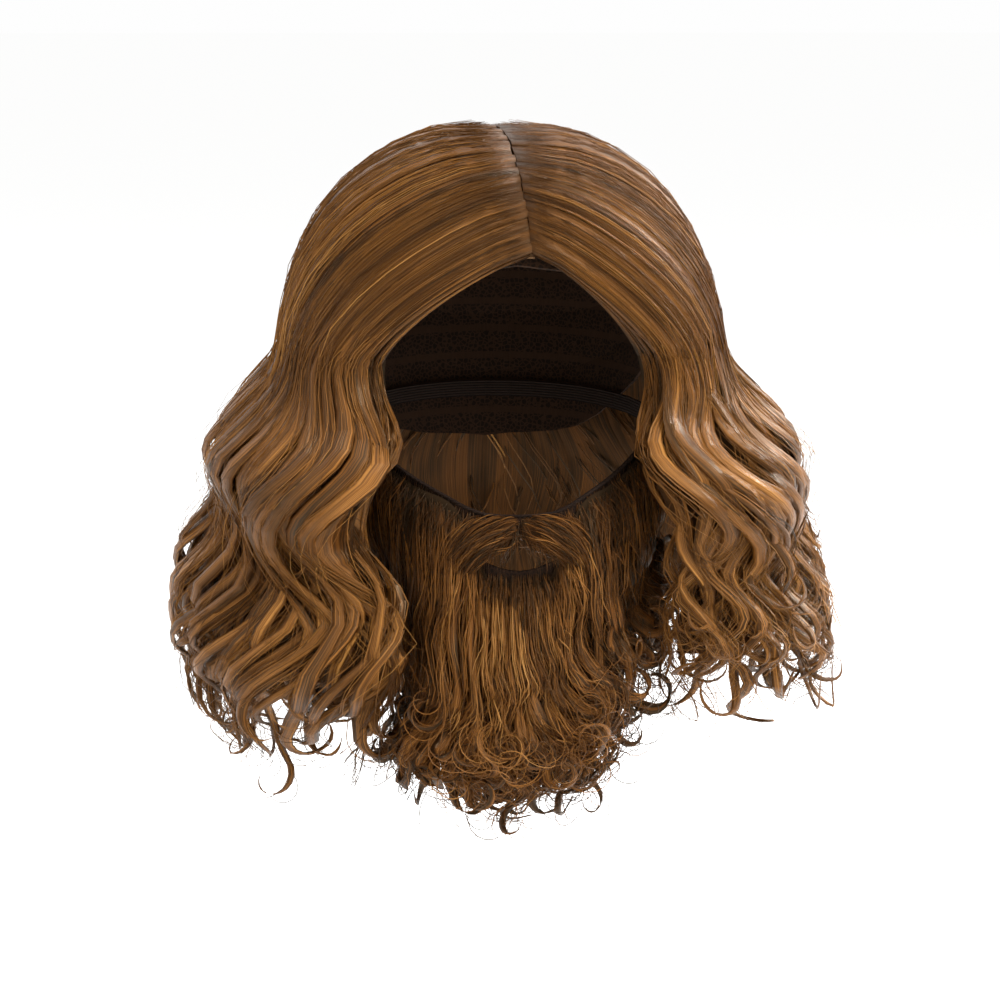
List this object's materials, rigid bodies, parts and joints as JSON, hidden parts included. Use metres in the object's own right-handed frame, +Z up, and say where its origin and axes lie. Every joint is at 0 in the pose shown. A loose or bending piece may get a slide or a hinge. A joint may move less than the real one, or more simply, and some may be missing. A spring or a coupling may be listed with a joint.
{
  "type": "wig and beard set",
  "caption": "Worn set of a shoulder-length wavy wig with a slanting centre parting and a full curly beard with a moustache on a net base.",
  "frame": {"origin": "inside of the cap's crown, where the wig sits on the top of the head", "axes": "+Z up along the wearer's head, -Y the way the wearer faces, +X towards the wearer's left"},
  "size_m": [0.3244, 0.2874, 0.3129],
  "materials": {
    "wig_hair": "glossy golden-brown synthetic hair with lighter and darker strands",
    "beard_hair": "darker brown synthetic hair, lighter at the curly ends",
    "cap_net": "matt dark brown net in sewn bands",
    "beard_net": "matt dark brown knotted net",
    "parting_net": "matt pale brown ribbon with knotted hair",
    "elastic": "matt dark brown knitted elastic"
  },
  "bodies": {
    "root": {"wig_cap": "cap_net", "parting_strip": "parting_net", "beard_base": "beard_net", "beard_elastic": "elastic", "moustache_right": "beard_hair", "moustache_left": "beard_hair", "cheek_lock_right_3": "beard_hair", "cheek_lock_right_2": "beard_hair", "cheek_lock_right_1": "beard_hair", "chin_lock_1": "beard_hair", "chin_lock_2": "beard_hair", "chin_lock_3": "beard_hair", "chin_lock_4": "beard_hair", "chin_lock_5": "beard_hair", "cheek_lock_left_1": "beard_hair", "cheek_lock_left_2": "beard_hair", "cheek_lock_left_3": "beard_hair", "wig_lock_right_1": "wig_hair", "wig_lock_right_2": "wig_hair", "wig_lock_right_3": "wig_hair", "wig_lock_right_4": "wig_hair", "wig_lock_right_5": "wig_hair", "wig_lock_right_6": "wig_hair", "wig_lock_right_7": "wig_hair", "wig_lock_right_8": "wig_hair", "wig_lock_left_1": "wig_hair", "wig_lock_left_2": "wig_hair", "wig_lock_left_3": "wig_hair", "wig_lock_left_4": "wig_hair", "wig_lock_left_5": "wig_hair", "wig_lock_left_6": "wig_hair", "wig_lock_left_7": "wig_hair", "wig_lock_left_8": "wig_hair"}
  },
  "joints": []
}
